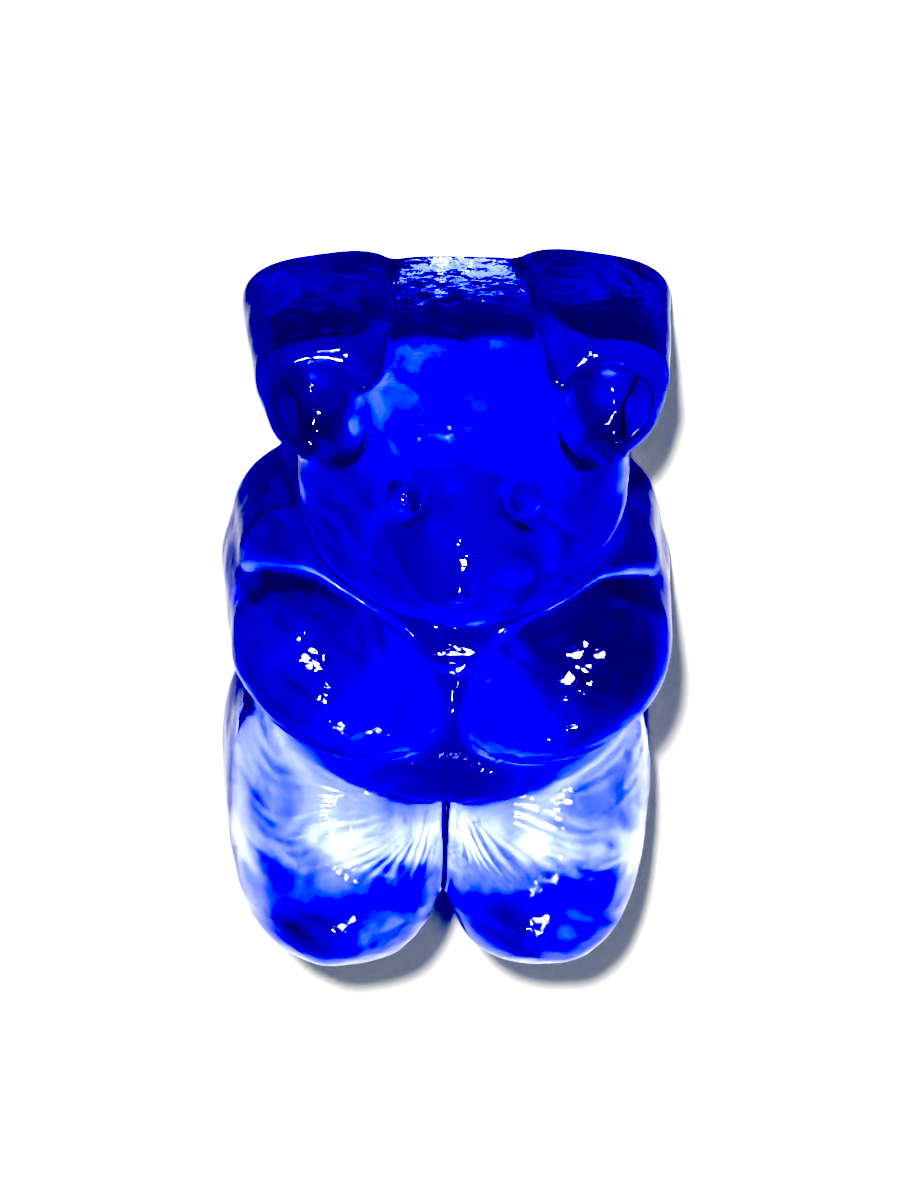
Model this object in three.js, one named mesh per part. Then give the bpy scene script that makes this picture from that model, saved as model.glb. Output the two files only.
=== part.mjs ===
// Gummy bear: one clear jelly sweet, cast lying on its flat back in an open mould.
// Lengths are millimetres. The flat back lies on z = 0 and the face looks along +Z.
// The head points along +Y, and the bear's own left side is at +X.
// The origin is the middle of the footprint on the back plane.
import * as THREE from 'three';

// --- Rounded forms ---------------------------------------------------------------------
// Each form is a rounded plan outline that stands up to its shoulder and ends in a dome.
//   centre    x and y of the outline's middle
//   half      half width and half length of the outline at shoulder height
//   shoulder  height at which the dome starts
//   dome      rise of the dome above the shoulder
//   outline   exponent of the plan curve (2 is an ellipse, more is squarer)
//   profile   exponent of the dome curve
//   draft     widening of the outline per millimetre below the shoulder
//   turn      degrees the outline is turned, counter-clockwise seen from the front
//   tilt      rise of the shoulder per millimetre along the outline's length
//   taper     share by which the outline is wider at its far end than in the middle
//   lean      sideways shift of the outline per millimetre of height
const HEAD = {
  centre: [0.15, 6.27], half: [4.78, 4.32], shoulder: 3.4, dome: 4.1,
  outline: 2.35, profile: 2.2, draft: 0.11, turn: 0, tilt: -0.12, taper: 0, lean: 0,
};
const CROWN = {
  centre: [0.05, 8.45], half: [2.3, 2.3], shoulder: 3.4, dome: 2.4,
  outline: 5, profile: 2.2, draft: 0.1, turn: 0, tilt: 0, taper: 0, lean: 0,
};
const EAR_LEFT = {
  centre: [3.72, 8.95], half: [1.98, 1.95], shoulder: 4.3, dome: 0.95,
  outline: 3, profile: 2.8, draft: 0.1, turn: -8, tilt: 0, taper: 0.14, lean: 0.04,
};
const EAR_RIGHT = {
  centre: [-3.78, 8.78], half: [1.92, 1.95], shoulder: 4.2, dome: 0.95,
  outline: 3, profile: 2.8, draft: 0.1, turn: 10, tilt: 0, taper: 0.14, lean: -0.03,
};
const TORSO = {
  centre: [-0.1, 1.75], half: [6.15, 3.75], shoulder: 2.6, dome: 3.2,
  outline: 2.9, profile: 2.2, draft: 0.06, turn: 0, tilt: 0, taper: 0, lean: 0,
};
const BELLY = {
  centre: [0, -1.5], half: [5.1, 3.25], shoulder: 3.2, dome: 3.3,
  outline: 2.4, profile: 2.2, draft: 0.06, turn: 0, tilt: 0, taper: 0, lean: 0,
};
const ARM_LEFT = {
  centre: [3.25, 0.35], half: [3.35, 2.45], shoulder: 4.5, dome: 2.85,
  outline: 2.1, profile: 2.4, draft: 0.05, turn: 39, tilt: -0.1, taper: 0, lean: 0,
};
const ARM_RIGHT = {
  centre: [-3.35, 0.4], half: [3.35, 2.45], shoulder: 4.5, dome: 2.85,
  outline: 2.1, profile: 2.4, draft: 0.05, turn: -39, tilt: -0.1, taper: 0, lean: 0,
};
const PAW_LEFT = {
  centre: [1.3, -0.65], half: [1.45, 1.25], shoulder: 5.2, dome: 1.8,
  outline: 2, profile: 2.2, draft: 0.05, turn: 40, tilt: 0, taper: 0, lean: 0,
};
const PAW_RIGHT = {
  centre: [-1.4, -0.6], half: [1.45, 1.25], shoulder: 5.2, dome: 1.8,
  outline: 2, profile: 2.2, draft: 0.05, turn: -42, tilt: 0, taper: 0, lean: 0,
};
const LEG_LEFT = {
  centre: [2.98, -5.6], half: [3.12, 4.75], shoulder: 2.1, dome: 3.95,
  outline: 2.5, profile: 2.5, draft: 0.05, turn: -3, tilt: -0.18, taper: 0, lean: 0,
};
const LEG_RIGHT = {
  centre: [-3.08, -5.62], half: [3.3, 4.82], shoulder: 2.1, dome: 3.95,
  outline: 2.5, profile: 2.5, draft: 0.05, turn: 3.5, tilt: -0.18, taper: 0, lean: 0,
};
const CROTCH_WEB = {
  centre: [-0.05, -6.3], half: [1.2, 2.6], shoulder: 1, dome: 2.6,
  outline: 2, profile: 2, draft: 0.05, turn: 0, tilt: 0, taper: 0, lean: 0,
};

// --- Balls: middle and half sizes along X, Y and Z -------------------------------------
const MUZZLE = { middle: [0.08, 5.3, 6.8], half: [2.3, 2.25, 2.4] };
const NOSE = { middle: [-0.12, 5.05, 9.05], half: [0.3, 0.28, 0.26] };
const EYE_SPOTS = [[-1.68, 7.05, 7.55], [1.68, 7.05, 7.55]];
const EYE_KNOB = { offset: [0, 0.03, -0.2], half: [0.5, 0.5, 0.38] };
const EYE_RECESS = { offset: [0.2, 0.3, 0.27], half: [0.85, 0.82, 0.5] };
const EAR_DISHES = [
  { middle: [4.15, 9, 6.3], half: [1.6, 1.75, 1.75] },
  { middle: [-4.2, 8.8, 6.2], half: [1.6, 1.75, 1.75] },
];

// --- Slanting planes that trim the ears down towards the crown: a point and a facing -----
const EAR_FLANKS = [
  { point: [2.85, 10.15, 5.05], facing: [-0.7, 0.52, 0.48] },
  { point: [-2.75, 10.05, 4.95], facing: [0.7, 0.52, 0.48] },
];

// --- Widths of the soft creases where two forms run into each other ---------------------
const CREASE = {
  body: 0.3, legs: 0.3, web: 0.4, hips: 0.35, paw: 0.9, arms: 0.25,
  muzzle: 1.3, crown: 0.4, recess: 0.3, knob: 0.12, nose: 0.15,
  flank: 0.25, dish: 0.2, ears: 0.22, neck: 0.35,
};
// A form stops growing wider or narrower this far out, as a share of its half length.
const TAPER_LIMIT = 1.2;

// --- Skin grid ---------------------------------------------------------------------------
const FOOTPRINT_MIDDLE = [-0.051, 0.398];
const BACK_EDGE_RADIUS = 0.3;
const EDGE_ROWS = 3;
// The rim is found from a line up the middle of the back, and walked once round by a share
// that is 0 between the feet, 0.5 at the top of the head and grows up the left side.
const SPINE_LOW = -8;
const SPINE_HIGH = 6.4;
const RIM_SAMPLES = 120;
const FOOT_LEFT = 0.118;
const EAR_LEFT_CORNER = 0.391;
const EAR_RIGHT_CORNER = 0.609;
const FOOT_RIGHT = 0.882;
// Skin points are cast upwards from a keel far below the back, which flares the rays out.
// A ray starts at these shares of the x and y that it has on the level of the rim.
const KEEL_DEPTH = 20;
const KEEL_SHARE = [0.15, 0.6];
const CELLS_ACROSS = 54;
const CELLS_ALONG = 90;
const MIDDLE_CROWDING = 0.35;
const HEAD_CROWDING = 0.35;
const BACK_STATIONS = 14;
// A ray is searched from its far end inwards in steps, and the last step is then halved.
const REACH = 34;
const MARCH_STEP = 0.12;
const HALVINGS = 22;
const SLOPE_STEP = 0.02;
const TINY = 1e-9;

const JELLY_BLUE = 0x0a2bea;
const JELLY_ROUGHNESS = 0.12;

// Smaller of two distances, with the corner between them filled over the given width.
function softUnion(a, b, width) {
  const overlap = Math.max(width - Math.abs(a - b), 0) / width;
  return Math.min(a, b) - overlap * overlap * width / 4;
}

// Distance to form a with form b cut out of it, the edge rounded over the given width.
function softCut(a, b, width) {
  return -softUnion(-a, b, width);
}

// Rough distance from a point to a rounded form: negative inside, zero on its skin.
function formDistance(form, x, y, z) {
  const turn = THREE.MathUtils.degToRad(form.turn);
  const dx = x - form.centre[0] - form.lean * (z - form.shoulder);
  const dy = y - form.centre[1];
  const across = dx * Math.cos(turn) + dy * Math.sin(turn);
  const along = dy * Math.cos(turn) - dx * Math.sin(turn);
  const height = z - form.shoulder - form.tilt * along;
  const above = Math.max(height, 0);
  const widening = Math.max(-height, 0) * form.draft;
  const halfLength = form.half[1] + widening;
  const reach = THREE.MathUtils.clamp(along / halfLength, -TAPER_LIMIT, TAPER_LIMIT);
  const halfWidth = (form.half[0] + widening) * (1 + form.taper * reach);
  const planPower = Math.abs(across / halfWidth) ** form.outline
    + Math.abs(along / halfLength) ** form.outline + TINY;
  const plan = planPower ** (1 / form.outline);
  const scale = (plan ** form.profile + (above / form.dome) ** form.profile) ** (1 / form.profile);
  return (scale - 1) * Math.hypot(across, along, above) / scale;
}

// Rough distance from a point to a ball with three half sizes.
function ballDistance(middle, half, x, y, z) {
  const dx = x - middle[0];
  const dy = y - middle[1];
  const dz = z - middle[2];
  const scale = Math.hypot(dx / half[0], dy / half[1], dz / half[2]) + TINY;
  return (scale - 1) * Math.hypot(dx, dy, dz) / scale;
}

// Body: torso and belly, two legs joined by a low web, two arms that end in paws.
function bodyDistance(x, y, z) {
  const trunk = softUnion(formDistance(TORSO, x, y, z), formDistance(BELLY, x, y, z), CREASE.body);
  const legPair = softUnion(formDistance(LEG_LEFT, x, y, z), formDistance(LEG_RIGHT, x, y, z), CREASE.legs);
  const legs = softUnion(legPair, formDistance(CROTCH_WEB, x, y, z), CREASE.web);
  const left = softUnion(formDistance(ARM_LEFT, x, y, z), formDistance(PAW_LEFT, x, y, z), CREASE.paw);
  const right = softUnion(formDistance(ARM_RIGHT, x, y, z), formDistance(PAW_RIGHT, x, y, z), CREASE.paw);
  const seated = softUnion(trunk, legs, CREASE.hips);
  return softUnion(seated, softUnion(left, right, CREASE.arms), CREASE.body);
}

// Distance from a point to a plane, positive on the side that the plane faces.
function planeDistance(plane, x, y, z) {
  const facing = new THREE.Vector3(...plane.facing).normalize();
  return facing.dot(new THREE.Vector3(x, y, z).sub(new THREE.Vector3(...plane.point)));
}

// Face: head, muzzle and crown, two eye knobs each in a recess, and the small nose.
function faceDistance(x, y, z) {
  const muzzle = ballDistance(MUZZLE.middle, MUZZLE.half, x, y, z);
  let face = softUnion(formDistance(HEAD, x, y, z), muzzle, CREASE.muzzle);
  face = softUnion(face, formDistance(CROWN, x, y, z), CREASE.crown);
  for (const spot of EYE_SPOTS) {
    const outward = [Math.sign(spot[0]), 1, 1];
    const at = (offset) => spot.map((value, axis) => value + outward[axis] * offset[axis]);
    const recess = ballDistance(at(EYE_RECESS.offset), EYE_RECESS.half, x, y, z);
    const knob = ballDistance(at(EYE_KNOB.offset), EYE_KNOB.half, x, y, z);
    face = softUnion(softCut(face, recess, CREASE.recess), knob, CREASE.knob);
  }
  return softUnion(face, ballDistance(NOSE.middle, NOSE.half, x, y, z), CREASE.nose);
}

// Ears: two blocks, each trimmed by a slanting inner flank.
function earsDistance(x, y, z) {
  const [left, right] = [EAR_LEFT, EAR_RIGHT].map((ear, i) => (
    softCut(formDistance(ear, x, y, z), -planeDistance(EAR_FLANKS[i], x, y, z), CREASE.flank)
  ));
  return Math.min(left, right);
}

// Head: the face and the ears in one, with a dish hollowed into each ear inside its rim.
function headDistance(x, y, z) {
  let head = softUnion(faceDistance(x, y, z), earsDistance(x, y, z), CREASE.ears);
  for (const dish of EAR_DISHES) {
    head = softCut(head, ballDistance(dish.middle, dish.half, x, y, z), CREASE.dish);
  }
  return head;
}

// The whole sweet, before its back is cut flat.
function bearDistance(x, y, z) {
  return softUnion(bodyDistance(x, y, z), headDistance(x, y, z), CREASE.neck);
}

// Farthest point along a ray that lies on the skin, marching inwards and then halving.
function outermostHit(origin, direction) {
  const at = (t) => bearDistance(
    origin.x + direction.x * t,
    origin.y + direction.y * t,
    origin.z + direction.z * t,
  );
  let outside = REACH;
  let inside = outside - MARCH_STEP;
  while (inside > 0 && at(inside) > 0) {
    outside = inside;
    inside -= MARCH_STEP;
  }
  for (let i = 0; i < HALVINGS; i += 1) {
    const middle = (inside + outside) / 2;
    if (at(middle) > 0) {
      outside = middle;
    } else {
      inside = middle;
    }
  }
  return origin.clone().addScaledVector(direction, (inside + outside) / 2);
}

// Outward direction of the skin in plan, from small steps along X and Y.
function planNormal(point) {
  const { x, y, z } = point;
  const slopeX = bearDistance(x + SLOPE_STEP, y, z) - bearDistance(x - SLOPE_STEP, y, z);
  const slopeY = bearDistance(x, y + SLOPE_STEP, z) - bearDistance(x, y - SLOPE_STEP, z);
  return new THREE.Vector3(slopeX, slopeY, 0).normalize();
}

// Point on the rim, at the top of the rounded back edge, for a share of the way round.
function rimPoint(share) {
  const wrapped = THREE.MathUtils.euclideanModulo(share, 1);
  const rise = 1 - Math.abs(1 - 2 * wrapped);
  const side = wrapped < 0.5 ? 1 : -1;
  const angle = Math.PI * (rise - 0.5);
  const start = new THREE.Vector3(0, THREE.MathUtils.lerp(SPINE_LOW, SPINE_HIGH, rise), BACK_EDGE_RADIUS);
  return outermostHit(start, new THREE.Vector3(side * Math.cos(angle), Math.sin(angle), 0));
}

// A stretch of the rim as a path whose points can be taken at even distances along it.
function rimStretch(fromShare, toShare) {
  const path = new THREE.CurvePath();
  let last = rimPoint(fromShare);
  for (let i = 1; i <= RIM_SAMPLES; i += 1) {
    const next = rimPoint(THREE.MathUtils.lerp(fromShare, toShare, i / RIM_SAMPLES));
    path.add(new THREE.LineCurve3(last, next));
    last = next;
  }
  return path;
}

// Share of the way across the bear for a line of cells, closer together in the middle.
function lineShare(cell) {
  const even = cell / CELLS_ACROSS;
  return even + MIDDLE_CROWDING * Math.sin(2 * Math.PI * even) / (2 * Math.PI);
}

// Share of the way along the bear for a row of cells, closer together at the head.
function rowShare(row) {
  const even = row / CELLS_ALONG;
  return even + HEAD_CROWDING * Math.sin(Math.PI * even) / Math.PI;
}

// Level points that fill the outline evenly: a patch blended between its four stretches.
function levelGrid() {
  const bottom = rimStretch(FOOT_RIGHT, 1 + FOOT_LEFT);
  const top = rimStretch(EAR_RIGHT_CORNER, EAR_LEFT_CORNER);
  const left = rimStretch(FOOT_LEFT, EAR_LEFT_CORNER);
  const right = rimStretch(FOOT_RIGHT, EAR_RIGHT_CORNER);
  const grid = [];
  for (let row = 0; row <= CELLS_ALONG; row += 1) {
    const up = rowShare(row);
    const atRight = right.getPoint(up);
    const atLeft = left.getPoint(up);
    const line = [];
    for (let cell = 0; cell <= CELLS_ACROSS; cell += 1) {
      const over = lineShare(cell);
      const atBottom = bottom.getPoint(over);
      const atTop = top.getPoint(over);
      const sides = atRight.clone().lerp(atLeft, over);
      const ends = atBottom.clone().lerp(atTop, up);
      const low = bottom.getPoint(0).lerp(bottom.getPoint(1), over);
      const high = top.getPoint(0).lerp(top.getPoint(1), over);
      line.push(sides.add(ends).sub(low.lerp(high, up)));
    }
    grid.push(line);
  }
  return grid;
}

// Point of the skin above a level point, on the flared ray that runs through it.
function skinPoint(level) {
  const keel = new THREE.Vector3(level.x * KEEL_SHARE[0], level.y * KEEL_SHARE[1], -KEEL_DEPTH);
  return outermostHit(keel, level.clone().sub(keel).normalize());
}

// Places in the grid that lie on its border, once round counter-clockwise from the front.
function borderPlaces() {
  const places = [];
  for (let cell = 0; cell < CELLS_ACROSS; cell += 1) {
    places.push([0, cell]);
  }
  for (let row = 0; row < CELLS_ALONG; row += 1) {
    places.push([row, CELLS_ACROSS]);
  }
  for (let cell = CELLS_ACROSS; cell > 0; cell -= 1) {
    places.push([CELLS_ALONG, cell]);
  }
  for (let row = CELLS_ALONG; row > 0; row -= 1) {
    places.push([row, 0]);
  }
  return places;
}

// Ring of points round the back edge, rolled from the wall towards the flat back.
function edgeRing(border, normals, row) {
  const roll = Math.PI / 2 * row / EDGE_ROWS;
  const inset = BACK_EDGE_RADIUS * (1 - Math.cos(roll));
  return border.map((rim, i) => {
    const point = rim.clone().addScaledVector(normals[i], -inset);
    point.z = BACK_EDGE_RADIUS * (1 - Math.sin(roll));
    return point;
  });
}

// Two faces over four corners, split along the diagonal that stays nearer the skin.
function cellFaces(points, a, b, c, d) {
  const miss = (first, second) => {
    const middle = points[first].clone().add(points[second]).divideScalar(2);
    return Math.abs(bearDistance(middle.x, middle.y, middle.z));
  };
  return miss(a, c) <= miss(b, d) ? [a, b, c, a, c, d] : [a, b, d, b, c, d];
}

// The flat back: faces from the last ring to stations on the middle line of the back.
function backFaces(points, ring) {
  const stations = [];
  for (let i = 0; i <= BACK_STATIONS; i += 1) {
    const along = THREE.MathUtils.lerp(SPINE_LOW, SPINE_HIGH, i / BACK_STATIONS);
    stations.push(points.push(new THREE.Vector3(0, along, 0)) - 1);
  }
  const nearest = (index) => {
    const along = THREE.MathUtils.inverseLerp(SPINE_LOW, SPINE_HIGH, points[index].y);
    return stations[Math.round(THREE.MathUtils.clamp(along, 0, 1) * BACK_STATIONS)];
  };
  const faces = [];
  ring.forEach((index, i) => {
    const next = ring[(i + 1) % ring.length];
    const [from, to] = [nearest(index), nearest(next)];
    faces.push(index, from, next);
    if (from !== to) {
      faces.push(next, from, to);
    }
  });
  return faces;
}

// The closed skin: the cast grid, the rounded back edge and the flat back.
function bearGeometry() {
  const isBorder = (row, cell) => row % CELLS_ALONG === 0 || cell % CELLS_ACROSS === 0;
  const points = levelGrid().flatMap((line, row) => (
    line.map((point, cell) => (isBorder(row, cell) ? point : skinPoint(point)))
  ));
  const indices = [];
  const place = (row, cell) => row * (CELLS_ACROSS + 1) + cell;
  for (let row = 0; row < CELLS_ALONG; row += 1) {
    for (let cell = 0; cell < CELLS_ACROSS; cell += 1) {
      const [a, b] = [place(row, cell), place(row, cell + 1)];
      const [c, d] = [place(row + 1, cell + 1), place(row + 1, cell)];
      indices.push(...cellFaces(points, a, b, c, d));
    }
  }
  let ring = borderPlaces().map(([row, cell]) => place(row, cell));
  const border = ring.map((index) => points[index]);
  const normals = border.map(planNormal);
  for (let row = 1; row <= EDGE_ROWS; row += 1) {
    const lower = edgeRing(border, normals, row).map((point) => points.push(point) - 1);
    ring.forEach((index, i) => {
      const next = (i + 1) % ring.length;
      indices.push(index, lower[i], ring[next], ring[next], lower[i], lower[next]);
    });
    ring = lower;
  }
  indices.push(...backFaces(points, ring));
  const geometry = new THREE.BufferGeometry().setFromPoints(points);
  geometry.setIndex(indices);
  geometry.translate(-FOOTPRINT_MIDDLE[0], -FOOTPRINT_MIDDLE[1], 0);
  geometry.computeVertexNormals();
  return geometry;
}

// The sweet as one mesh of clear blue jelly.
function makeBear() {
  const jelly = new THREE.MeshStandardMaterial({
    color: JELLY_BLUE,
    roughness: JELLY_ROUGHNESS,
    metalness: 0,
  });
  const bear = new THREE.Mesh(bearGeometry(), jelly);
  bear.name = 'gummy_bear';
  return bear;
}

const part = new THREE.Group();
part.name = 'gummy_bear_part';
part.add(makeBear());

export default part;
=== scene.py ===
"""Gummy bear of clear blue jelly, lying on its flat back with its face up."""
import math

import bpy
import numpy as np
from mathutils import Matrix, Vector


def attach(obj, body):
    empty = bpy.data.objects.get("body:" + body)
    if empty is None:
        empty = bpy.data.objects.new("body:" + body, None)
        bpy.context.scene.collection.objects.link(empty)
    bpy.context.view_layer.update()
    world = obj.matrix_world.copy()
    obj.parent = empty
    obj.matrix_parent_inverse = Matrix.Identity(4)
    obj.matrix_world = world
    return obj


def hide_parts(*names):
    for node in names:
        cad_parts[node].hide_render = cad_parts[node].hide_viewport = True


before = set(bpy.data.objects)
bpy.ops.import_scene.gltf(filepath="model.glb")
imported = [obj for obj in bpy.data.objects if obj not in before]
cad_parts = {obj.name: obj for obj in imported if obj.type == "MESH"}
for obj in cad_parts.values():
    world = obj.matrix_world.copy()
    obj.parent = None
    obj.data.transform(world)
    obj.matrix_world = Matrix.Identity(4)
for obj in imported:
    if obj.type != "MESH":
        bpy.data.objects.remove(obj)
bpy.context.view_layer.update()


# --- Body ------------------------------------------------------------------------------
# The sweet is poured into one open mould, so all of it is a single piece of gelatine jelly.
# Torso, belly, arms and legs are rounded blocks in the mould that run softly into each
# other. Lengths are in millimetres until the finished skin is turned into metres.
MM = 0.001
TINY = 1e-9
TAPER_LIMIT = 1.2
TORSO = {
    "centre": (-0.1, 1.75), "half": (6.15, 3.75), "shoulder": 2.6, "dome": 3.2,
    "outline": 2.9, "profile": 2.2, "draft": 0.06,
}
BELLY = {
    "centre": (0.0, -1.5), "half": (5.1, 3.25), "shoulder": 3.2, "dome": 3.3,
    "outline": 2.4, "profile": 2.2, "draft": 0.06,
}
ARM_LEFT = {
    "centre": (3.25, 0.35), "half": (3.35, 2.45), "shoulder": 4.5, "dome": 2.85,
    "outline": 2.1, "profile": 2.4, "draft": 0.05, "turn": 39, "tilt": -0.1,
}
ARM_RIGHT = {
    "centre": (-3.35, 0.4), "half": (3.35, 2.45), "shoulder": 4.5, "dome": 2.85,
    "outline": 2.1, "profile": 2.4, "draft": 0.05, "turn": -39, "tilt": -0.1,
}
PAW_LEFT = {
    "centre": (1.3, -0.65), "half": (1.45, 1.25), "shoulder": 5.2, "dome": 1.8,
    "outline": 2.0, "profile": 2.2, "draft": 0.05, "turn": 40,
}
PAW_RIGHT = {
    "centre": (-1.4, -0.6), "half": (1.45, 1.25), "shoulder": 5.2, "dome": 1.8,
    "outline": 2.0, "profile": 2.2, "draft": 0.05, "turn": -42,
}
LEG_LEFT = {
    "centre": (2.98, -5.6), "half": (3.12, 4.75), "shoulder": 2.1, "dome": 3.95,
    "outline": 2.5, "profile": 2.5, "draft": 0.05, "turn": -3, "tilt": -0.18,
}
LEG_RIGHT = {
    "centre": (-3.08, -5.62), "half": (3.3, 4.82), "shoulder": 2.1, "dome": 3.95,
    "outline": 2.5, "profile": 2.5, "draft": 0.05, "turn": 3.5, "tilt": -0.18,
}
CROTCH_WEB = {
    "centre": (-0.05, -6.3), "half": (1.2, 2.6), "shoulder": 1.0, "dome": 2.6,
    "outline": 2.0, "profile": 2.0, "draft": 0.05,
}
BODY_CREASE = {"trunk": 0.3, "legs": 0.3, "web": 0.4, "hips": 0.35, "paw": 0.9, "arms": 0.25}


def soft_union(a, b, width):
    """The smaller of two distances, less a quarter of width where both are equal."""
    overlap = np.maximum(width - np.abs(a - b), 0) / width
    return np.minimum(a, b) - overlap**2 * width / 4


def soft_cut(a, b, width):
    """The distance to a with b taken out of it, its edge rounded over width."""
    return -soft_union(-a, b, width)


def form_distance(form, p):
    """A superellipse outline below the shoulder, drawn in to nothing by a dome above it.

    scale = (plan ** profile + (height above shoulder / dome) ** profile) ** (1 / profile)
    is 1 on the skin, and (1 - 1 / scale) times the distance from the middle is returned.
    """
    turn = math.radians(form.get("turn", 0))
    dx = p[..., 0] - form["centre"][0] - form.get("lean", 0) * (p[..., 2] - form["shoulder"])
    dy = p[..., 1] - form["centre"][1]
    across = dx * math.cos(turn) + dy * math.sin(turn)
    along = dy * math.cos(turn) - dx * math.sin(turn)
    height = p[..., 2] - form["shoulder"] - form.get("tilt", 0) * along
    above = np.maximum(height, 0)
    widening = np.maximum(-height, 0) * form["draft"]
    half_length = form["half"][1] + widening
    reach = np.clip(along / half_length, -TAPER_LIMIT, TAPER_LIMIT)
    half_width = (form["half"][0] + widening) * (1 + form.get("taper", 0) * reach)
    outline = form["outline"]
    profile = form["profile"]
    plan_power = np.abs(across / half_width) ** outline + np.abs(along / half_length) ** outline
    plan = (plan_power + TINY) ** (1 / outline)
    scale = (plan**profile + (above / form["dome"]) ** profile) ** (1 / profile)
    return (1 - 1 / scale) * np.sqrt(across**2 + along**2 + above**2)


def body_distance(p):
    """Torso and belly, two legs joined by a low web, and two arms that end in paws."""
    crease = BODY_CREASE
    trunk = soft_union(form_distance(TORSO, p), form_distance(BELLY, p), crease["trunk"])
    legs = soft_union(form_distance(LEG_LEFT, p), form_distance(LEG_RIGHT, p), crease["legs"])
    legs = soft_union(legs, form_distance(CROTCH_WEB, p), crease["web"])
    left = soft_union(form_distance(ARM_LEFT, p), form_distance(PAW_LEFT, p), crease["paw"])
    right = soft_union(form_distance(ARM_RIGHT, p), form_distance(PAW_RIGHT, p), crease["paw"])
    arms = soft_union(left, right, crease["arms"])
    return soft_union(soft_union(trunk, legs, crease["hips"]), arms, crease["trunk"])


# --- Head ------------------------------------------------------------------------------
# The head is a broad dome with a round muzzle, a small nose, and two eye knobs that each
# stand in a round hollow. The ears are blocks with a dished face inside a raised rim, and
# the crown is a low block between them.
HEAD = {
    "centre": (0.15, 6.27), "half": (4.78, 4.32), "shoulder": 3.4, "dome": 4.1,
    "outline": 2.35, "profile": 2.2, "draft": 0.11, "tilt": -0.12,
}
CROWN = {
    "centre": (0.05, 8.45), "half": (2.3, 2.3), "shoulder": 3.4, "dome": 2.4,
    "outline": 5.0, "profile": 2.2, "draft": 0.1,
}
EAR_LEFT = {
    "centre": (3.72, 8.95), "half": (1.98, 1.95), "shoulder": 4.3, "dome": 0.95,
    "outline": 3.0, "profile": 2.8, "draft": 0.1, "turn": -8, "taper": 0.14, "lean": 0.04,
}
EAR_RIGHT = {
    "centre": (-3.78, 8.78), "half": (1.92, 1.95), "shoulder": 4.2, "dome": 0.95,
    "outline": 3.0, "profile": 2.8, "draft": 0.1, "turn": 10, "taper": 0.14, "lean": -0.03,
}
EAR_FLANKS = (
    ((2.85, 10.15, 5.05), (-0.7, 0.52, 0.48)),
    ((-2.75, 10.05, 4.95), (0.7, 0.52, 0.48)),
)
EAR_DISHES = (
    ((4.15, 9.0, 6.3), (1.6, 1.75, 1.75)),
    ((-4.2, 8.8, 6.2), (1.6, 1.75, 1.75)),
)
MUZZLE = ((0.08, 5.3, 6.8), (2.3, 2.25, 2.4))
NOSE = ((-0.12, 5.05, 9.05), (0.3, 0.28, 0.26))
EYE_SPOTS = ((-1.68, 7.05, 7.55), (1.68, 7.05, 7.55))
EYE_KNOB = ((0.0, 0.03, -0.2), (0.5, 0.5, 0.38))
EYE_RECESS = ((0.2, 0.3, 0.27), (0.85, 0.82, 0.5))
HEAD_CREASE = {
    "muzzle": 1.3, "crown": 0.4, "recess": 0.3, "knob": 0.12, "nose": 0.15,
    "flank": 0.25, "dish": 0.2, "ears": 0.22,
}
NECK_CREASE = 0.35


def ball_distance(middle, half, p):
    """(1 - 1 / scale) times the distance from middle, where scale is 1 on the ball's skin."""
    offset = p - np.array(middle)
    scale = np.linalg.norm(offset / np.array(half), axis=-1) + TINY
    return (1 - 1 / scale) * np.linalg.norm(offset, axis=-1)


def plane_distance(point, facing, p):
    """The height of p above the plane through point, on the side that it faces."""
    return (p - np.array(point)) @ (np.array(facing) / np.linalg.norm(facing))


def face_distance(p):
    """The head, muzzle, crown and nose, and for each eye a hollow and a knob in it."""
    face = soft_union(form_distance(HEAD, p), ball_distance(*MUZZLE, p), HEAD_CREASE["muzzle"])
    face = soft_union(face, form_distance(CROWN, p), HEAD_CREASE["crown"])
    for spot in EYE_SPOTS:
        outward = np.array((math.copysign(1, spot[0]), 1, 1))
        recess = ball_distance(spot + outward * EYE_RECESS[0], EYE_RECESS[1], p)
        knob = ball_distance(np.add(spot, EYE_KNOB[0]), EYE_KNOB[1], p)
        face = soft_union(soft_cut(face, recess, HEAD_CREASE["recess"]), knob, HEAD_CREASE["knob"])
    return soft_union(face, ball_distance(*NOSE, p), HEAD_CREASE["nose"])


def ears_distance(p):
    """Two ear blocks with a slanting inner flank."""
    blocks = []
    for form, flank in zip((EAR_LEFT, EAR_RIGHT), EAR_FLANKS):
        beyond = -plane_distance(*flank, p)
        blocks.append(soft_cut(form_distance(form, p), beyond, HEAD_CREASE["flank"]))
    return np.minimum(*blocks)


def head_distance(p):
    """Face and ears in one, less a ball-shaped dish in each ear."""
    head = soft_union(face_distance(p), ears_distance(p), HEAD_CREASE["ears"])
    for middle, half in EAR_DISHES:
        head = soft_cut(head, ball_distance(middle, half, p), HEAD_CREASE["dish"])
    return head


def bear_distance(p):
    """Body and head in one, for points p whose last axis is x, y and z."""
    return soft_union(body_distance(p), head_distance(p), NECK_CREASE)


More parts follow.
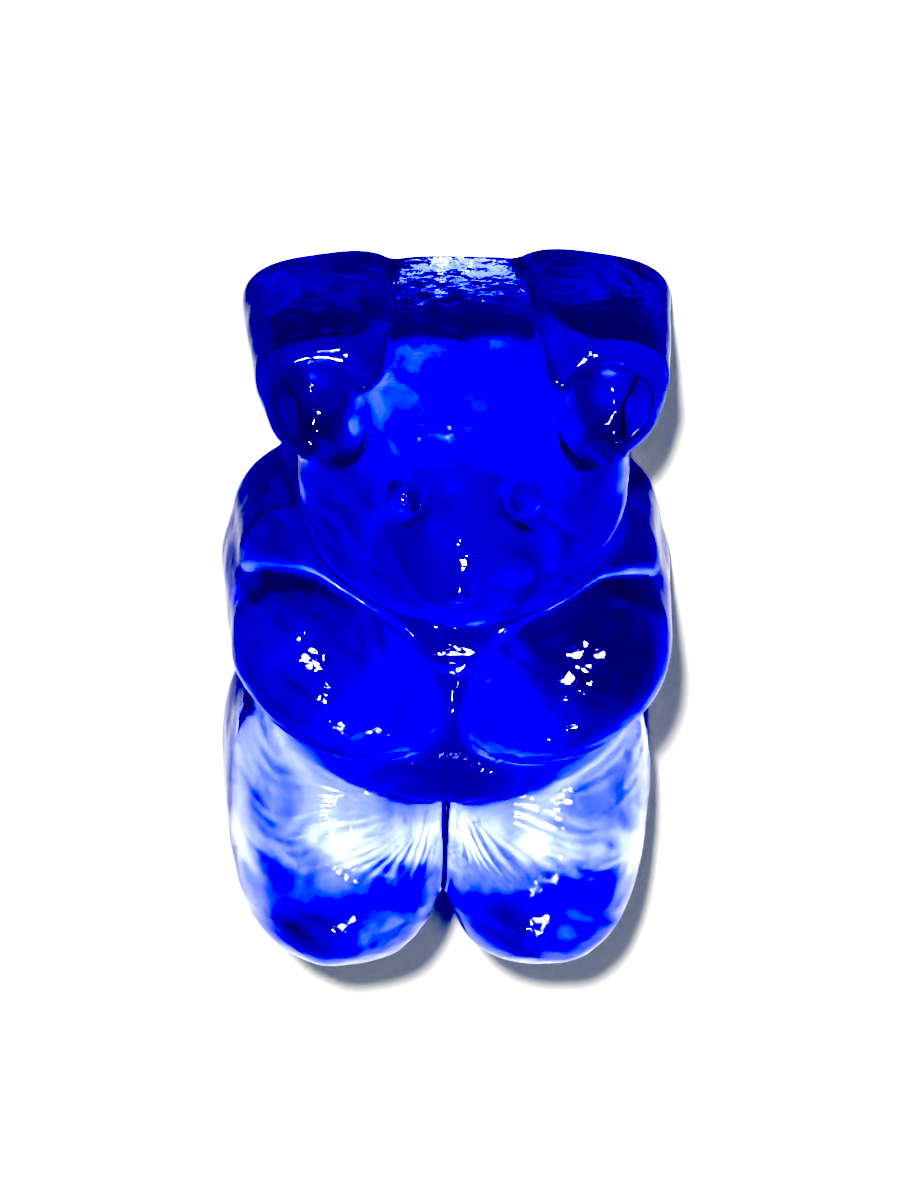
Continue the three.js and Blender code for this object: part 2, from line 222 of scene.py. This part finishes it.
# --- Skin ------------------------------------------------------------------------------
# The jelly's skin is one closed surface: a grid laid over the forms, a small rounded edge
# where the jelly met the rim of the mould, and the flat back that the sweet lies on.
FOOTPRINT_MIDDLE = (-0.051, 0.398)
BACK_EDGE_RADIUS = 0.3
BACK_LIP = 0.05
EDGE_ROWS = 6
SPINE = (-8.0, 6.4)
RIM_SAMPLES = 400
FOOT_LEFT, EAR_LEFT_CORNER = 0.118, 0.391
FOOT_RIGHT, EAR_RIGHT_CORNER = 0.882, 0.609
KEEL_DEPTH = 20.0
KEEL_SHARE = (0.15, 0.6)
CELLS_ACROSS = 214
CELLS_ALONG = 370
MIDDLE_CROWDING = 0.3
HEAD_CROWDING = 0.25
BACK_STATIONS = 40
RIPPLE_SEED = 11
RIPPLE_WAVES = 16
RIPPLE_LENGTHS = (0.6, 2.4)
RIPPLE_SLOPE = 0.024
RIPPLE_RISE = (0.3, 1.1)
STREAK_HUB = (-0.05, -3.9)
STREAK_COUNT = 58
STREAK_HEIGHT = 0.012
STREAK_WOBBLE = 1.8
STREAK_DISTANCE = (0.8, 2.0, 5.0, 6.6)
STREAK_BELOW_HUB = (-2.6, -1.4, 1.4, 3.0)
REACH = 34.0
WALK_STEPS = 60
WALK_SHARE = 0.6
SLOPE_STEP = 0.01


def outermost_hit(origins, directions):
    """Walks each ray in from its far end by a share of the distance that is left."""
    far = np.full(origins.shape[:-1], REACH)
    for _ in range(WALK_STEPS):
        far -= WALK_SHARE * bear_distance(origins + far[..., None] * directions)
    return origins + far[..., None] * directions


def rim_points(shares):
    """Points round the rim: 0 is between the feet, 0.5 the top of the head, left side first.

    Each ray starts on the middle line of the back and turns from -Y through X to +Y.
    """
    rise = 1 - np.abs(1 - 2 * (shares % 1))
    side = np.where(shares % 1 < 0.5, 1.0, -1.0)
    angle = math.pi * (rise - 0.5)
    flat = 0 * rise
    along = SPINE[0] + (SPINE[1] - SPINE[0]) * rise
    start = np.stack((flat, along, flat + BACK_EDGE_RADIUS), -1)
    return outermost_hit(start, np.stack((side * np.cos(angle), np.sin(angle), flat), -1))


def rim_stretch(from_share, to_share, places):
    """Points at the given shares of the length of one stretch of the rim."""
    path = rim_points(np.linspace(from_share, to_share, RIM_SAMPLES))
    length = np.append(0, np.cumsum(np.linalg.norm(np.diff(path, axis=0), axis=-1)))
    along = places * length[-1]
    return np.stack([np.interp(along, length, path[:, axis]) for axis in range(3)], -1)


def level_grid():
    """A patch blended between four stretches of the rim: sides + ends - corners."""
    over = np.linspace(0, 1, CELLS_ACROSS + 1)
    over = over + MIDDLE_CROWDING * np.sin(2 * math.pi * over) / (2 * math.pi)
    up = np.linspace(0, 1, CELLS_ALONG + 1)
    up = up + HEAD_CROWDING * np.sin(math.pi * up) / math.pi
    bottom = rim_stretch(FOOT_RIGHT, 1 + FOOT_LEFT, over)
    top = rim_stretch(EAR_RIGHT_CORNER, EAR_LEFT_CORNER, over)
    left = rim_stretch(FOOT_LEFT, EAR_LEFT_CORNER, up)
    right = rim_stretch(FOOT_RIGHT, EAR_RIGHT_CORNER, up)
    over = over[None, :, None]
    up = up[:, None, None]
    sides = right[:, None] * (1 - over) + left[:, None] * over
    ends = bottom[None] * (1 - up) + top[None] * up
    low = bottom[0] * (1 - over) + bottom[-1] * over
    high = top[0] * (1 - over) + top[-1] * over
    return sides + ends - low * (1 - up) - high * up


def cast_grid(level):
    """Carries the inner points of the level grid up flared rays to the skin."""
    keel = level * np.array((*KEEL_SHARE, 0.0)) - np.array((0.0, 0.0, KEEL_DEPTH))
    ray = level - keel
    points = outermost_hit(keel, ray / np.linalg.norm(ray, axis=-1, keepdims=True))
    points[[0, -1]] = level[[0, -1]]
    points[:, [0, -1]] = level[:, [0, -1]]
    return points


def ramp(value, start, end):
    """A smooth step from 0 at start to 1 at end."""
    share = np.clip((value - start) / (end - start), 0, 1)
    return share * share * (3 - 2 * share)


def band(value, edges):
    """Rises from 0 to 1 between the first two edges and falls again between the last two."""
    return ramp(value, *edges[:2]) * (1 - ramp(value, *edges[2:]))


def ripple_height(p):
    """The faint unevenness of cast jelly, as a height over the smooth forms.

    It is a sum of sine waves in seeded directions. Streaks that fan out from between the
    legs, sin(count * angle), are added where the legs face up. Near the back it fades out.
    """
    chance = np.random.default_rng(RIPPLE_SEED)
    heading = chance.normal(size=(RIPPLE_WAVES, 3))
    heading /= np.linalg.norm(heading, axis=-1, keepdims=True)
    length = chance.uniform(*RIPPLE_LENGTHS, RIPPLE_WAVES)
    phase = chance.uniform(0, 2 * math.pi, RIPPLE_WAVES)
    wave = np.sin(2 * math.pi * (p @ heading.T) / length + phase)
    height = wave @ (RIPPLE_SLOPE * length / (2 * math.pi))
    across = p[..., 0] - STREAK_HUB[0]
    along = STREAK_HUB[1] - p[..., 1]
    distance = np.hypot(across, along)
    turn = np.arctan2(across, along)
    streak = np.sin(STREAK_COUNT * turn + STREAK_WOBBLE * (wave[..., 0] + wave[..., 1]))
    strength = band(distance, STREAK_DISTANCE) * band(along, STREAK_BELOW_HUB)
    height = height + STREAK_HEIGHT * strength * streak
    return height * ramp(p[..., 2], *RIPPLE_RISE)


def outward(p, axes):
    """Directions out of the skin, from small steps of the distance along the first axes."""
    slopes = np.zeros(p.shape)
    for axis, step in enumerate(SLOPE_STEP * np.eye(3)[:axes]):
        slopes[..., axis] = bear_distance(p + step) - bear_distance(p - step)
    return slopes / np.linalg.norm(slopes, axis=-1, keepdims=True)


def border_ring(grid):
    """The grid's border as one ring, counter-clockwise seen from the front."""
    return np.concatenate((grid[0, :-1], grid[:-1, -1], grid[-1, :0:-1], grid[:0:-1, 0]))


def edge_rings(border):
    """Rings from the wall in to the back: a quarter circle of the edge, then a flat lip."""
    roll = (np.arange(1, EDGE_ROWS + 1) / EDGE_ROWS * math.pi / 2)[:, None, None]
    inset = BACK_EDGE_RADIUS * (1 - np.cos(roll))
    inset = np.concatenate((inset, inset[-1:] + BACK_LIP))
    rings = border[None] - inset * outward(border, 2)[None]
    rings[..., 2] = BACK_EDGE_RADIUS * (1 - np.sin(np.append(roll, roll[-1])))[:, None]
    return rings


def quads(lower, upper):
    """Faces between two rows of indices, point for point."""
    corners = (lower[..., :-1], lower[..., 1:], upper[..., 1:], upper[..., :-1])
    return np.stack(corners, -1).reshape(-1, 4)


def skin_mesh(name):
    """The mesh of the whole skin, in metres, with the origin in the middle of the footprint."""
    skin = cast_grid(level_grid())
    skin = skin + ripple_height(skin)[..., None] * outward(skin, 3)
    rings = edge_rings(border_ring(skin))
    stations = np.zeros((BACK_STATIONS, 3))
    stations[:, 1] = np.linspace(*SPINE, BACK_STATIONS)
    points = np.concatenate((skin.reshape(-1, 3), rings.reshape(-1, 3), stations))
    grid = np.arange(skin.shape[0] * skin.shape[1]).reshape(skin.shape[:2])
    ring = np.arange(rings.shape[0] * rings.shape[1]).reshape(rings.shape[:2]) + grid.size
    station = np.arange(BACK_STATIONS) + grid.size + ring.size
    walls = np.concatenate((border_ring(grid)[None], ring))
    walls = np.concatenate((walls, walls[:, :1]), axis=1)
    front_faces = quads(grid[:-1], grid[1:])
    edge_faces = quads(walls[1:], walls[:-1])
    last = walls[-1]
    share = (points[last, 1] - SPINE[0]) / (SPINE[1] - SPINE[0])
    nearest = station[np.rint(np.clip(share, 0, 1) * (BACK_STATIONS - 1)).astype(int)]
    fan = np.stack((last[:-1], nearest[:-1], last[1:]), -1)
    step = np.stack((last[1:], nearest[:-1], nearest[1:]), -1)
    step = step[nearest[:-1] != nearest[1:]]
    points = (points - np.array((*FOOTPRINT_MIDDLE, 0.0))) * MM
    faces = [*front_faces.tolist(), *edge_faces.tolist(), *fan.tolist(), *step.tolist()]
    mesh = bpy.data.meshes.new(name)
    mesh.from_pydata(points.tolist(), [], faces)
    mesh.shade_smooth()
    mesh.update()
    return mesh


bear = bpy.data.objects.new("bear", skin_mesh("bear"))
bpy.context.scene.collection.objects.link(bear)


# --- Jelly -----------------------------------------------------------------------------
# Clear gelatine and sugar jelly, dyed deep blue all through and wiped with a little oil.
# The dye swallows red and green, so thin places are pale. The skin's tint is darkened in soft
# clouds over the head and body, partly random dye tone and partly painted shade, and the legs are
# kept clear of them so that they stay bright. Places and depths are in metres.
JELLY_IOR = 1.45
SHINE = 0.3
DYE_COLOUR = (0.26, 0.3, 0.86, 1.0)
DYE_DENSITY = 265.0
# Painted shade: darker clouds in the skin's tint over the head and body, partly random dye tone;
# the legs are lifted clear of them.
DYE_AND_SHADE_CLOUDS = (330.0, 4.0)
DYE_AND_SHADE_SWIRL = 1.0
DYE_AND_SHADE_EDGES = (0.47, 0.55)
DYE_AND_SHADE_TINTS = ((0.54, 0.58, 0.62, 1.0), (1.0, 1.0, 1.0, 1.0))
SHADE_FADE_LEGS_TO_BODY = (-0.0042, -0.0027)
LEG_SHADE_LIFT = (0.3, 0.0)
OIL_PATCHES = (900.0, 4.0)
OIL_EDGES = (0.35, 0.65)
SKIN_GLOSS = (0.012, 0.07)
DIMPLES = (2600.0, 3.0)
DIMPLE_DEPTH = 0.000022
GRAIN = (16000.0, 2.0)
GRAIN_DEPTH = 0.0000006


def noise_node(nodes, links, place, features, layers):
    """A cloud pattern by the piece's own place: features to the metre, with finer layers."""
    noise = nodes.new("ShaderNodeTexNoise")
    noise.inputs["Scale"].default_value = features
    noise.inputs["Detail"].default_value = layers
    links.new(place.outputs["Object"], noise.inputs["Vector"])
    return noise


def range_node(nodes, links, value, taken, given):
    """Carries a value from the taken range over to the given range, and no further."""
    carried = nodes.new("ShaderNodeMapRange")
    carried.inputs["From Min"].default_value = taken[0]
    carried.inputs["From Max"].default_value = taken[1]
    carried.inputs["To Min"].default_value = given[0]
    carried.inputs["To Max"].default_value = given[1]
    links.new(value, carried.inputs["Value"])
    return carried.outputs["Result"]


def tint_node(nodes, links, value, edges, tints):
    """The first tint below the first edge, the second above the second, a blend between."""
    blend = nodes.new("ShaderNodeValToRGB")
    for stop, edge, tint in zip(blend.color_ramp.elements, edges, tints):
        stop.position = edge
        stop.color = tint
    links.new(value, blend.inputs["Fac"])
    return blend.outputs["Color"]


def bump_node(nodes, links, noise, depth):
    """Raises the skin by noise times depth."""
    bump = nodes.new("ShaderNodeBump")
    bump.inputs["Strength"].default_value = 1.0
    bump.inputs["Distance"].default_value = depth
    links.new(noise.outputs["Fac"], bump.inputs["Height"])
    return bump


def jelly_material():
    """Blue absorption inside a clear skin with shallow dimples, fine grain and patches of oil.

    The oil patches vary the gloss between SKIN_GLOSS. The clouds are painted shade, partly random
    dye tone: they darken the skin's tint where their value is under the cloud edges, and over the
    legs they are lifted so that the legs stay clear and bright.
    """
    material = bpy.data.materials.new("blue_jelly")
    material.use_nodes = True
    nodes = material.node_tree.nodes
    links = material.node_tree.links
    surface = nodes["Principled BSDF"]
    surface.inputs["Transmission Weight"].default_value = 1.0
    surface.inputs["IOR"].default_value = JELLY_IOR
    surface.inputs["Specular IOR Level"].default_value = SHINE
    place = nodes.new("ShaderNodeTexCoord")
    # Painted shade: the clouds darken the skin's tint over the head and body, and are lifted clear
    # over the legs.
    dye_and_shade_clouds = noise_node(nodes, links, place, *DYE_AND_SHADE_CLOUDS)
    dye_and_shade_clouds.inputs["Distortion"].default_value = DYE_AND_SHADE_SWIRL
    axes = nodes.new("ShaderNodeSeparateXYZ")
    links.new(place.outputs["Object"], axes.inputs["Vector"])
    leg_shade_lift = range_node(nodes, links, axes.outputs["Y"], SHADE_FADE_LEGS_TO_BODY, LEG_SHADE_LIFT)
    dye_and_shade_value = nodes.new("ShaderNodeMath")
    dye_and_shade_value.operation = "ADD"
    links.new(dye_and_shade_clouds.outputs["Fac"], dye_and_shade_value.inputs[0])
    links.new(leg_shade_lift, dye_and_shade_value.inputs[1])
    tint = tint_node(nodes, links, dye_and_shade_value.outputs["Value"], DYE_AND_SHADE_EDGES, DYE_AND_SHADE_TINTS)
    links.new(tint, surface.inputs["Base Color"])
    oil = noise_node(nodes, links, place, *OIL_PATCHES)
    gloss = range_node(nodes, links, oil.outputs["Fac"], OIL_EDGES, SKIN_GLOSS)
    links.new(gloss, surface.inputs["Roughness"])
    low = bump_node(nodes, links, noise_node(nodes, links, place, *DIMPLES), DIMPLE_DEPTH)
    fine = bump_node(nodes, links, noise_node(nodes, links, place, *GRAIN), GRAIN_DEPTH)
    links.new(low.outputs["Normal"], fine.inputs["Normal"])
    links.new(fine.outputs["Normal"], surface.inputs["Normal"])
    dye = nodes.new("ShaderNodeVolumeAbsorption")
    dye.inputs["Color"].default_value = DYE_COLOUR
    dye.inputs["Density"].default_value = DYE_DENSITY
    links.new(dye.outputs["Volume"], nodes["Material Output"].inputs["Volume"])
    return material


bear.data.materials.append(jelly_material())
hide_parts("gummy_bear")
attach(bear, "root")


# --- Floor -----------------------------------------------------------------------------
# A plain sheet of smooth white board, lying level a hair below the sweet. It only shows
# the shadow, and is not part of the sweet.
FLOOR_HALF = 1.0
FLOOR_DROP = 0.00003
BOARD_GRAIN = (1500.0, 4.0)
BOARD_EDGES = (0.0, 1.0)
BOARD_TINTS = ((0.84, 0.84, 0.83, 1.0), (0.86, 0.86, 0.855, 1.0))
BOARD_ROUGHNESS = 0.9


def board_material():
    """Matt white board with a very faint mottled grain."""
    material = bpy.data.materials.new("white_board")
    material.use_nodes = True
    nodes = material.node_tree.nodes
    links = material.node_tree.links
    board = nodes["Principled BSDF"]
    board.inputs["Roughness"].default_value = BOARD_ROUGHNESS
    place = nodes.new("ShaderNodeTexCoord")
    grain = noise_node(nodes, links, place, *BOARD_GRAIN)
    tint = tint_node(nodes, links, grain.outputs["Fac"], BOARD_EDGES, BOARD_TINTS)
    links.new(tint, board.inputs["Base Color"])
    return material


def floor_object():
    """A square sheet, FLOOR_HALF from its middle to each edge."""
    signs = ((-1, -1), (1, -1), (1, 1), (-1, 1))
    corners = [(x * FLOOR_HALF, y * FLOOR_HALF, -FLOOR_DROP) for x, y in signs]
    mesh = bpy.data.meshes.new("floor")
    mesh.from_pydata(corners, [], [(0, 1, 2, 3)])
    mesh.materials.append(board_material())
    floor = bpy.data.objects.new("floor", mesh)
    bpy.context.scene.collection.objects.link(floor)
    return floor


floor = floor_object()


# --- Camera ----------------------------------------------------------------------------
# A long lens looks down from the head's side, about 30 degrees off straight above. The
# place it looks at is given in millimetres to the right, up and towards the lens.
TO_CAMERA = Vector((-0.048, 0.499, 0.865)).normalized()
RIGHTWARDS = Vector((0.9988, 0.035, 0.035))
LOOK_AT = (0.116, -0.358, 4.0)
CAMERA_DISTANCE = 0.2
FIELD_WIDTH = 0.02601
SENSOR = 36.0
image_right = (RIGHTWARDS - TO_CAMERA * RIGHTWARDS.dot(TO_CAMERA)).normalized()
image_up = TO_CAMERA.cross(image_right)
axes = Matrix((image_right, image_up, TO_CAMERA)).transposed()
target = (axes @ Vector(LOOK_AT) - Vector((*FOOTPRINT_MIDDLE, 0.0))) * MM
camera_data = bpy.data.cameras.new("camera")
camera_data.sensor_fit = "HORIZONTAL"
camera_data.sensor_width = SENSOR
camera_data.lens = SENSOR * CAMERA_DISTANCE / FIELD_WIDTH
camera = bpy.data.objects.new("camera", camera_data)
camera.matrix_world = Matrix.Translation(target + TO_CAMERA * CAMERA_DISTANCE) @ axes.to_4x4()
bpy.context.scene.collection.objects.link(camera)
bpy.context.scene.camera = camera


# --- Light -----------------------------------------------------------------------------
# A small strong lamp beyond the head casts the shadow, and a broad one fills it in. Broad
# lamps that miss the floor glow through the jelly, and small ones give its bright dots.
# Each lamp has its direction, its spread in radians, its strength and its tint.
WHITE = (1.0, 1.0, 1.0)
FLOOR_LAMPS = {
    "key": ((-0.2, 0.82, 1.0), 0.08, 7.6, (0.5, 0.5, 1.0)),
    "fill": ((0.08, 0.45, 1.0), 0.3, 1.4, (1.0, 1.0, 0.75)),
}
GLOW_LAMPS = {
    "crown": ((-0.25, 0.18, 1.0), 0.34, 1.1, WHITE),
    "thighs": ((0.0, 0.1, 1.0), 0.32, 3.0, WHITE),
    "feet": ((-0.22, 0.85, 1.0), 0.3, 1.7, WHITE),
    "walls": ((0.0, -0.6, 1.0), 0.5, 1.6, WHITE),
}
SPARK_LAMPS = {
    "face_spark": ((0.08, 0.45, 1.0), 0.12, 0.6, WHITE),
    "chest_spark": ((-0.12, 0.16, 1.0), 0.18, 1.6, WHITE),
    "paw_spark": ((0.04, -0.25, 0.97), 0.06, 0.25, WHITE),
    "leg_spark": ((0.06, -0.7, 0.72), 0.06, 0.25, WHITE),
}
ROOM_TINT = (0.6, 0.7, 1.0, 1.0)
ROOM_STRENGTH = 0.12
DARKEST = (0.31, 0.3, 0.05)
BRIGHTEST = (0.9, 0.9, 1.4)


def lamp(name, direction, spread, strength, tint):
    """A far soft lamp that shines from direction, as wide in the sky as spread in radians."""
    data = bpy.data.lights.new(name, "SUN")
    data.angle = spread
    data.energy = strength
    data.color = tint
    shining = bpy.data.objects.new(name, data)
    shining.matrix_world = Vector(direction).to_track_quat("Z", "Y").to_matrix().to_4x4()
    bpy.context.scene.collection.objects.link(shining)
    return shining


sweet_only = bpy.data.collections.new("sweet_only")
sweet_only.objects.link(bear)
for name, setting in FLOOR_LAMPS.items():
    floor_lamp = lamp(name, *setting)
    floor_lamp.visible_glossy = False
for name, setting in GLOW_LAMPS.items():
    glow_lamp = lamp(name, *setting)
    glow_lamp.visible_glossy = False
    glow_lamp.light_linking.receiver_collection = sweet_only
for name, setting in SPARK_LAMPS.items():
    spark_lamp = lamp(name, *setting)
    spark_lamp.light_linking.receiver_collection = sweet_only
room = bpy.data.worlds.new("room")
room.use_nodes = True
room.node_tree.nodes["Background"].inputs["Color"].default_value = ROOM_TINT
room.node_tree.nodes["Background"].inputs["Strength"].default_value = ROOM_STRENGTH
bpy.context.scene.world = room
bpy.context.scene.cycles.blur_glossy = 0.0
bpy.context.scene.cycles.denoising_input_passes = "RGB"
view = bpy.context.scene.view_settings
view.view_transform = "Standard"
view.use_curve_mapping = True
view.curve_mapping.black_level = DARKEST
view.curve_mapping.white_level = BRIGHTEST
view.curve_mapping.update()
